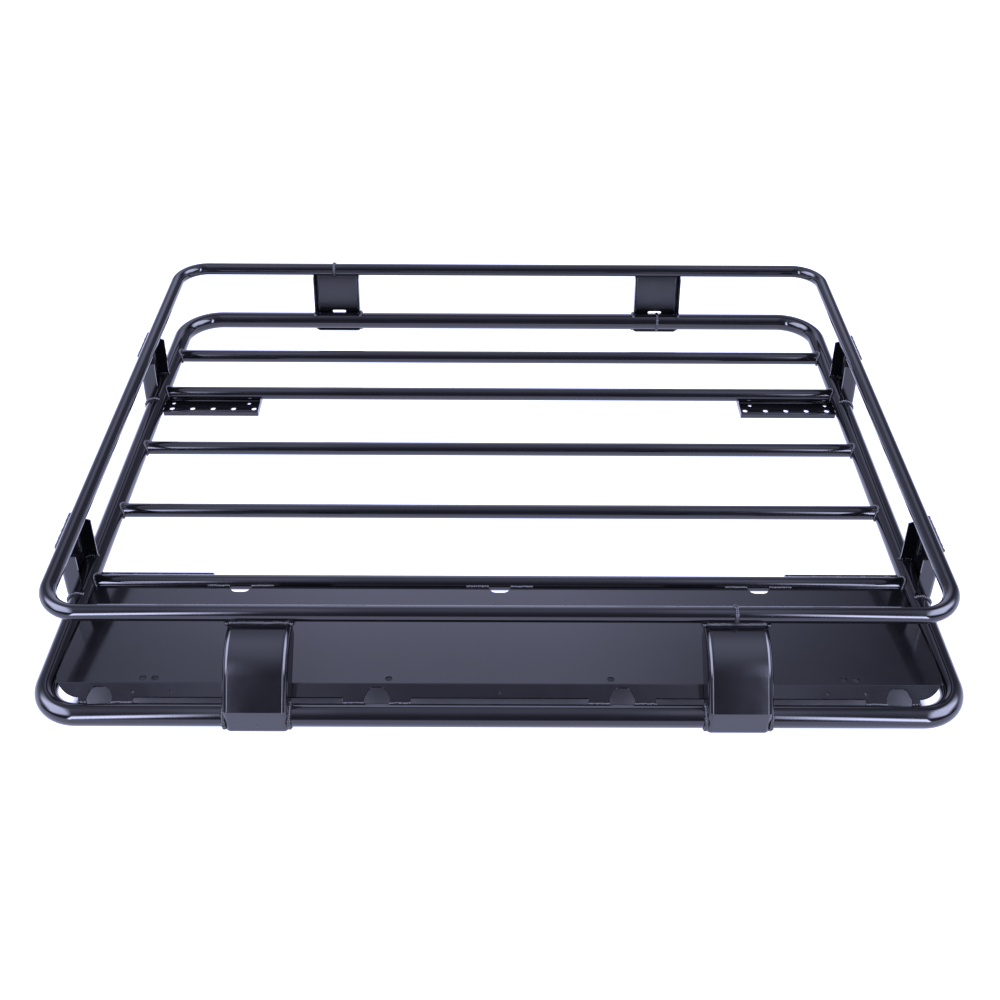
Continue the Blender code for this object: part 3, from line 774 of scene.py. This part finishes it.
def notch(x, edge, inwards, step):
    """A round-bottomed notch in an edge, walked along X in steps of this sign."""
    bottom = edge + inwards * NOTCH_DEPTH
    near = [(x - step * NOTCH_HALF, edge, 0), (x - step * NOTCH_HALF * 0.62, bottom, NOTCH_DEPTH * 0.8)]
    return near + [(2 * x - px, py, radius) for px, py, radius in reversed(near)]


band_front = tab_front - PAST
line = [(y, deflector_height(y)) for y in (bar_front, fold_y, band_front)]
section = rounded(
    [(y, z + HALF_SHEET, FOLD_OUTSIDE if y == fold_y else 0) for y, z in line]
    + [(y, z - HALF_SHEET, FOLD_INSIDE if y == fold_y else 0) for y, z in reversed(line)]
)
band_place = Matrix.Translation((0, 0, BASE_Z)) @ ALONG_X
deflector = plate("wind_deflector_coated", [section], 2 * (panel_reach + PAST), band_place)

far_edge = bar_front + PAST
corners = [(-panel_reach, far_edge, 0), (-panel_reach, strip_front, CORNER)]
for x in (-FRONT_NOTCHES[1], -FRONT_NOTCHES[0], *FRONT_NOTCHES):
    short_tab = min(TAB_LENGTH, panel_reach - CORNER - abs(x) - NOTCH_HALF)
    before = short_tab if x < -FRONT_NOTCHES[0] else TAB_LENGTH
    after = short_tab if x > FRONT_NOTCHES[0] else TAB_LENGTH
    start = x - NOTCH_HALF
    end = x + NOTCH_HALF
    corners += [(start - before, strip_front, 0), (start - before, tab_front, 0), (start, tab_front, 0)]
    corners += notch(x, strip_front, 1, 1)
    corners += [(end, tab_front, 0), (end + after, tab_front, 0), (end + after, strip_front, 0)]
corners += [(panel_reach, strip_front, CORNER), (panel_reach, far_edge, 0)]
for x in REAR_NOTCHES:
    cut_out = notch(x, bar_front, -1, -1)
    corners += [(cut_out[0][0], far_edge, 0), *cut_out, (cut_out[-1][0], far_edge, 0)]
outlines = [rounded(corners), circle(0, fold_y - STRIP_HOLE_SETBACK, STRIP_HOLE_RADIUS)]
for side in (-1, 1):
    outlines += [circle(side * x, fold_y + FOLD_HOLE_SETBACK, FOLD_HOLE_RADIUS) for x in FOLD_HOLES]
    outlines += [circle(side * x, fold_y - STRIP_HOLE_SETBACK, STRIP_HOLE_RADIUS) for x in STRIP_HOLES]
plan = plate("plan", outlines, 4 * FOLD_RISE, Matrix.Translation((0, 0, BASE_Z)))
cut(deflector, [plan], coat_on_sheet, "INTERSECT")
belongs(deflector, "deflector_paint", "wind_deflector")

# %% [markdown]
# ## Weld beads
# A hand weld is a row of overlapping ripples, each one a small puddle that froze as the torch moved
# on. That is a pattern along a path, so Geometry Nodes lay it: the path is resampled at the ripple
# pitch, and on each point sits a flattened ball, turned to the path and changed a little in size
# by a seeded random value. The powder coat runs over the bead and keeps its glints.

# %% The weld tree
weld_tree = new_tree(
    "weld_bead",
    [
        ("Pitch", "NodeSocketFloat"),
        ("Width", "NodeSocketFloat"),
        ("Seed", "NodeSocketInt"),
        ("Material", "NodeSocketMaterial"),
    ],
)
weld_in = add_node(weld_tree, "NodeGroupInput")
weld_path = add_node(weld_tree, "GeometryNodeMeshToCurve", {"Mesh": weld_in.outputs["Geometry"]})
ripples = add_node(
    weld_tree,
    "GeometryNodeCurveToPoints",
    {"Curve": weld_path.outputs[0], "Length": weld_in.outputs["Pitch"]},
    mode="LENGTH",
)
puddle = add_node(
    weld_tree, "GeometryNodeMeshUVSphere", {"Segments": 12, "Rings": 8, "Radius": weld_in.outputs["Width"]}
)
flattened = add_node(
    weld_tree,
    "GeometryNodeTransform",
    {"Geometry": puddle.outputs[0], "Scale": Vector((0.5, 0.5, 0.42))},
)
size = add_node(
    weld_tree,
    "FunctionNodeRandomValue",
    {"Min": Vector((0.82, 0.82, 0.9)), "Max": Vector((1.18, 1.12, 1.2)), "Seed": weld_in.outputs["Seed"]},
    data_type="FLOAT_VECTOR",
)
laid = add_node(
    weld_tree,
    "GeometryNodeInstanceOnPoints",
    {
        "Points": ripples.outputs["Points"],
        "Instance": flattened.outputs[0],
        "Rotation": ripples.outputs["Rotation"],
        "Scale": size.outputs[0],
    },
)
finish_tree(weld_tree, weld_in, laid.outputs[0])


# %% [markdown]
# ## Where the welds run
# Each kind of joint has its own path. A crossbar's end is a saddle, because a round bar meets a
# round tube. A butt joint is a plain ring. The posts are welded along the top rail and down the
# coped edges of their flanges, and the deflector is stitched in short runs beside its notches.

# %% Laying a bead
def weld(name, paths, pitch, width, seed, slot):
    """One object with the beads along these paths."""
    values = {"Pitch": pitch, "Width": width, "Seed": seed}
    bead = grown(name, path_mesh(name, paths), weld_tree, values, coat_on_weld)
    belongs(bead, slot)


def ring(x, y, z, radius, count=40):
    """A ring of points round a tube that runs along X."""
    turns = [2 * math.pi * index / count for index in range(count + 1)]
    return [Vector((x, y + radius * math.cos(turn), z + radius * math.sin(turn))) for turn in turns]


# %% Weld the crossbars and the butt joints
LIFT = 0.6 * MM  # how far the middle of a bead stands off the tube
BUTT_SINK = 0.4 * MM
saddles = []
for y in BAR_Y:
    for side in (-1, 1):
        saddle = []
        for point in ring(0, y, 0, BAR_RADIUS + LIFT, 28):
            depth = math.sqrt((BASE_RADIUS + LIFT) ** 2 - point.z**2)
            saddle.append(Vector((side * (HALF_WIDTH - depth), point.y, BASE_Z + point.z)))
        saddles.append(saddle)
weld("weld_crossbar_ends", saddles, 2.2 * MM, 4.6 * MM, 3, "tube_paint")

butts = []
for ring_name, (front, rear, height, radius, _, _) in rings.items():
    front_joint, rear_joint = joints[ring_name]
    butts.append(ring(front_joint, front, height, radius - BUTT_SINK))
    butts.append(ring(rear_joint, rear, height, radius - BUTT_SINK))
weld("weld_butt_joints", butts, 2.4 * MM, 6.4 * MM, 5, "tube_paint")

# %% Weld the posts to the top rail
WEB_WELD_TURN = math.radians(50)  # from straight ahead down to where the front web meets the rail
WEB_WELD_LIFT = 1.4 * MM
END_INSET = 5 * MM  # how far a bead stops short of a post's edge
RAIL_WELD_RISE = 1.5 * MM
rail_runs = []
web_runs = []
corner_runs = []
for hand, side in (("left", -1), ("right", 1)):
    low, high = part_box(f"front_post_{hand}")
    run_y = RAIL_FRONT_Y - (RAIL_RADIUS + WEB_WELD_LIFT) * math.cos(WEB_WELD_TURN)
    run_z = RAIL_Z - (RAIL_RADIUS + WEB_WELD_LIFT) * math.sin(WEB_WELD_TURN)
    web_runs.append([Vector((x, run_y, run_z)) for x in (low.x + END_INSET, high.x - END_INSET)])
    for x in (low.x, high.x):
        corner_runs.append([Vector((x, run_y, run_z - 2 * MM)), Vector((x, run_y + 4 * MM, run_z - 3 * MM))])
    low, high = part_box(f"rear_post_{hand}")
    run_y = RAIL_REAR_Y + RAIL_RADIUS + LIFT
    run_z = RAIL_Z + RAIL_WELD_RISE
    rail_runs.append([Vector((x, run_y, run_z)) for x in (low.x + END_INSET, high.x - END_INSET)])
    for end in ("front", "rear"):
        low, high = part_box(f"side_post_{end}_{hand}")
        run_x = side * (HALF_WIDTH + RAIL_RADIUS + LIFT)
        rail_runs.append([Vector((run_x, y, run_z)) for y in (low.y + END_INSET, high.y - END_INSET)])
weld("weld_posts_to_rail", rail_runs, 3.0 * MM, 5.6 * MM, 8, "post_paint")
weld("weld_front_webs", web_runs, 2.6 * MM, 7.0 * MM, 9, "post_paint")
weld("weld_front_corners", corner_runs, 2.0 * MM, 8.0 * MM, 10, "post_paint")

# %% Weld the posts' feet to the base ring
FOOT_WELD_LIFT = 1.2 * MM
TURNS = [math.radians(13 * step) for step in range(-7, 10)]  # round the tube, from below to the top
foot_runs = []
for node in [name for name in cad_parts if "_post_" in name]:
    low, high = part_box(node)
    for end_place in (low, high):
        run = []
        for turn in TURNS:
            out = (BASE_RADIUS + FOOT_WELD_LIFT) * math.cos(turn)
            up = (BASE_RADIUS + FOOT_WELD_LIFT) * math.sin(turn)
            if node.startswith("side"):
                side = -1 if low.x < 0 else 1
                run.append(Vector((side * (HALF_WIDTH + out), end_place.y, BASE_Z + up)))
            else:
                ring_y, side = (FRONT_Y, -1) if node.startswith("front") else (REAR_Y, 1)
                run.append(Vector((end_place.x, ring_y + side * out, BASE_Z + up)))
        foot_runs.append(run)
weld("weld_post_feet", foot_runs, 2.6 * MM, 6.0 * MM, 17, "post_paint")

# %% Stitch the deflector
STITCH = 29 * MM
STITCH_GAP = 1 * MM  # between a notch and the first ripple
stitches = []
for x in REAR_NOTCHES:
    for side in (-1, 1):
        start = x + side * (NOTCH_HALF + STITCH_GAP)
        y = BAR_Y[0] - BAR_RADIUS + 0.4 * MM
        z = BASE_Z + deflector_height(bar_front) + 2.2 * MM
        stitches.append([Vector((start, y, z)), Vector((start + side * STITCH, y, z))])
for x in (-FRONT_NOTCHES[1], -FRONT_NOTCHES[0], *FRONT_NOTCHES):
    for side in (-1, 1):
        length = TAB_LENGTH
        if side * x > FRONT_NOTCHES[0]:
            length = min(TAB_LENGTH, panel_reach - CORNER - abs(x) - NOTCH_HALF)
        start = x + side * (NOTCH_HALF + STITCH_GAP)
        end = start + side * (length - 2 * STITCH_GAP)
        z = BASE_Z + deflector_height(tab_front) + HALF_SHEET
        stitches.append([Vector((start, tab_front, z)), Vector((end, tab_front, z))])
weld("weld_deflector", stitches, 3.0 * MM, 5.0 * MM, 13, "deflector_paint")

# %% [markdown]
# ## The studio floor
# A gloss black object shows its surroundings more than itself. The floor is a light table of grey
# glass: it glows evenly from below, so it burns out to white and holds no shadow. Under the
# deflector the glow is turned down to paint the shadow that the deflector casts on the floor, and
# that is why the notches there look dark.

# %% Floor
TINT = (0.66, 0.69, 1.0)  # cool daylight tubes
FLOOR_REACH = 60.0
# Where the painted shade lies: a patch that stands in for the deflector's shadow on the floor.
PAINTED_SHADE_MIDDLE_Y = -0.405
PAINTED_SHADE_HALF_LENGTH = 68 * MM
PAINTED_SHADE_HALF_WIDTH = 0.49 + PAINTED_SHADE_HALF_LENGTH
FLOOR_GLOW = 1.3


def tinted(level):
    """A grey level in linear light, with the cool tint of the lamps."""
    return (*(level * part / TINT[1] for part in TINT), 1.0)


floor_mesh = bpy.data.meshes.new("studio_floor")
shape = bmesh.new()
bmesh.ops.create_grid(shape, x_segments=1, y_segments=1, size=FLOOR_REACH)
shape.to_mesh(floor_mesh)
shape.free()
floor = bpy.data.objects.new("studio_floor", floor_mesh)
bpy.context.scene.collection.objects.link(floor)
glass = bpy.data.materials.new("light_table_with_painted_shade")
glass.use_nodes = True
tree = glass.node_tree
shader = tree.nodes["Principled BSDF"]
shader.inputs["Base Color"].default_value = linear("#616161")
shader.inputs["Roughness"].default_value = 0.9
shader.inputs["Specular IOR Level"].default_value = 0.1
place = add_node(tree, "ShaderNodeTexCoord").outputs["Object"]
across = add_node(tree, "ShaderNodeSeparateXYZ", {"Vector": place})
from_painted_shade = add_node(tree, "ShaderNodeMath", {0: across.outputs["Y"], 1: -PAINTED_SHADE_MIDDLE_Y}, operation="ADD")
off_y = add_node(tree, "ShaderNodeMath", {0: from_painted_shade.outputs[0]}, operation="ABSOLUTE")
off_x = add_node(tree, "ShaderNodeMath", {0: across.outputs["X"]}, operation="ABSOLUTE")
painted_shade_side = {0: off_x.outputs[0], 1: PAINTED_SHADE_HALF_WIDTH - PAINTED_SHADE_HALF_LENGTH}
past_x = add_node(tree, "ShaderNodeMath", painted_shade_side, operation="SUBTRACT")
farther = {0: off_y.outputs[0], 1: past_x.outputs[0]}
off_painted_shade = add_node(tree, "ShaderNodeMath", farther, operation="MAXIMUM")
# Painted shade: the glow drops almost to nothing under the deflector, in place of the shadow the deflector
# would cast.
glow = add_node(
    tree,
    "ShaderNodeMapRange",
    {
        "Value": off_painted_shade.outputs[0],
        "From Min": PAINTED_SHADE_HALF_LENGTH,
        "From Max": PAINTED_SHADE_HALF_LENGTH * 1.3,
        "To Min": 0.03,
        "To Max": FLOOR_GLOW,
    },
    interpolation_type="SMOOTHSTEP",
)
tree.links.new(glow.outputs[0], shader.inputs["Emission Strength"])
shader.inputs["Emission Color"].default_value = tinted(1.0)
floor_mesh.materials.append(glass)
print(f"floor {2 * FLOOR_REACH:.0f} m wide, masked {2 * PAINTED_SHADE_HALF_LENGTH * 1000:.0f} mm deep")

# %% [markdown]
# ## Lights and surroundings
# The front of the studio is kept dark, so the shapes stay black. A broad dim light overhead and a
# brighter wall behind grey the upper sides. Left and right in front stand two softboxes, two tall
# panels and two dim reflectors, which draw the highlights near the ends of the tubes and along the
# bends. All of them are far away and soft, so they are painted on the sky by direction, and one
# large lamp above does the rest.

# %% Sky
wash = bpy.data.lights.new("overhead_wash", "AREA")
wash.energy = 60
wash.size = 6
wash.color = TINT
wash_object = bpy.data.objects.new("overhead_wash", wash)
wash_object.location = (0, 0, 4.5)
wash_object.visible_glossy = False
bpy.context.scene.collection.objects.link(wash_object)

world = bpy.data.worlds.new("studio")
world.use_nodes = True
tree = world.node_tree
tree.nodes.clear()
direction = add_node(tree, "ShaderNodeTexCoord").outputs["Generated"]
split = add_node(tree, "ShaderNodeSeparateXYZ", {"Vector": direction})


def math_node(operation, *inputs):
    """The result of one mathematical step in the sky's tree."""
    return add_node(tree, "ShaderNodeMath", dict(enumerate(inputs)), operation=operation).outputs[0]


# The angle in the plane across the bars, from the front horizon over the top to the back.
angle = math_node("ARCTAN2", split.outputs["Z"], math_node("MULTIPLY", split.outputs["Y"], -1.0))
ramp = add_node(tree, "ShaderNodeValToRGB", {"Fac": math_node("DIVIDE", angle, math.pi)})
BRIGHTEST = 3.0
SKY = (
    (0, 1.5),
    (6, 0.45),
    (14, 0.09),
    (30, 0.14),
    (45, 0.18),
    (60, 0.33),
    (75, 0.62),
    (92, 0.88),
    (110, 0.80),
    (122, 0.80),
    (134, 1.10),
    (142.5, 1.35),
    (146, 1.72),
    (160, 1.9),
    (180, 1.8),
)
for index, (degrees, level) in enumerate(SKY):
    stop = ramp.color_ramp.elements[index] if index < 2 else ramp.color_ramp.elements.new(degrees / 180)
    stop.position = degrees / 180
    stop.color = tinted(level / BRIGHTEST * TINT[1])
# The bright wall behind is widest at the middle and falls off to both sides.
right_fall = add_node(
    tree,
    "ShaderNodeMapRange",
    {"Value": split.outputs["X"], "From Min": 0.06, "From Max": 0.33, "To Min": 1.0, "To Max": 0.15},
)
left_fall = add_node(
    tree,
    "ShaderNodeMapRange",
    {"Value": split.outputs["X"], "From Min": -0.14, "From Max": -0.40, "To Min": 1.0, "To Max": 0.30},
)
wall = math_node("MULTIPLY", right_fall.outputs[0], left_fall.outputs[0])
is_wall = add_node(
    tree,
    "ShaderNodeMapRange",
    {"Value": split.outputs["Y"], "From Min": 0.2, "From Max": 0.6, "To Min": 0.0, "To Max": 1.0},
)
level = math_node(
    "ADD",
    math_node("MULTIPLY", is_wall.outputs[0], wall),
    math_node("SUBTRACT", 1.0, is_wall.outputs[0]),
)
total = math_node("MULTIPLY", level, BRIGHTEST / TINT[1])
sky = add_node(tree, "ShaderNodeBackground", {"Color": ramp.outputs[0], "Strength": total})


def smooth(value, low, high, bottom, top):
    """A value that goes smoothly from bottom to top while another goes from low to high."""
    inputs = {"Value": value, "From Min": low, "From Max": high, "To Min": bottom, "To Max": top}
    return add_node(tree, "ShaderNodeMapRange", inputs, interpolation_type="SMOOTHSTEP").outputs[0]


def near(middle, gone, full):
    """1 close to a middle angle and 0 past it, given where it is gone and full in degrees."""
    off = math_node("ABSOLUTE", math_node("SUBTRACT", angle, middle))
    return smooth(off, math.radians(gone), math.radians(full), 0.0, 1.0)


def between(rising, falling, strength):
    """A strength that holds between two stretches to the side, where it rises and where it falls."""
    risen = smooth(sideways, *rising, 0.0, strength)
    fallen = smooth(sideways, *falling, 1.0, 0.0)
    return math_node("MULTIPLY", risen, fallen)


sideways = math_node("ABSOLUTE", split.outputs["X"])
# Each softbox leans: its inner end stands high at 58 degrees, and its outer end comes down to 28.
lean = math_node("MULTIPLY", math_node("SUBTRACT", sideways, 0.20), math.radians(-230))
box_line = math_node("ADD", lean, math.radians(58))
boxes = math_node("MULTIPLY", near(box_line, 19, 3), between((0.21, 0.34), (0.40, 0.55), 26.0))
# Beside them stand two tall panels, which only the round edges and the ends of the rings can see.
panels = math_node("MULTIPLY", near(math.radians(80), 50, 25), between((0.36, 0.50), (0.80, 0.95), 13.0))
# Two dim reflectors hang high between them, over the webs of the front posts.
fills = math_node("MULTIPLY", near(math.radians(84), 42, 6), between((0.11, 0.18), (0.23, 0.30), 0.9))
boxes = math_node("ADD", math_node("ADD", boxes, panels), fills)
softboxes = add_node(tree, "ShaderNodeBackground", {"Color": tinted(TINT[1]), "Strength": boxes})
lamps = add_node(tree, "ShaderNodeAddShader", {0: sky.outputs[0], 1: softboxes.outputs[0]}).outputs[0]
add_node(tree, "ShaderNodeOutputWorld", {"Surface": lamps})
bpy.context.scene.world = world
bpy.context.scene.view_settings.view_transform = "Standard"
print(f"sky of {len(SKY)} levels, brightest {max(level for _, level in SKY)}, wash {wash.energy:.0f} W")

# %% [markdown]
# ## The camera
# The rack is seen from the front and above, at about 40 degrees, through a slightly wide lens. The
# camera's turn and roll are small, so its frame is built from the three angles.

# %% Make the camera
PITCH = math.radians(40.435)
TURN = 0.0045
ROLL = 0.0068
PLACE = (-0.0058, -1.4450, 1.2041)
camera_data = bpy.data.cameras.new("camera")
camera_data.sensor_width = 36
camera_data.lens = 41.4
camera = bpy.data.objects.new("camera", camera_data)
ahead = math.cos(PITCH)
forward = Vector((math.sin(TURN) * ahead, math.cos(TURN) * ahead, -math.sin(PITCH)))
flat_right = forward.cross(Vector((0, 0, 1))).normalized()
upright = flat_right.cross(forward)
right = flat_right * math.cos(ROLL) + upright * math.sin(ROLL)
over = upright * math.cos(ROLL) - flat_right * math.sin(ROLL)
axes = Matrix((right, over, -forward)).transposed().to_4x4()
camera.matrix_world = Matrix.Translation(PLACE) @ axes
bpy.context.scene.collection.objects.link(camera)
bpy.context.scene.camera = camera
print(f"camera pitched {math.degrees(PITCH):.1f} degrees, lens {camera_data.lens:.1f} mm")
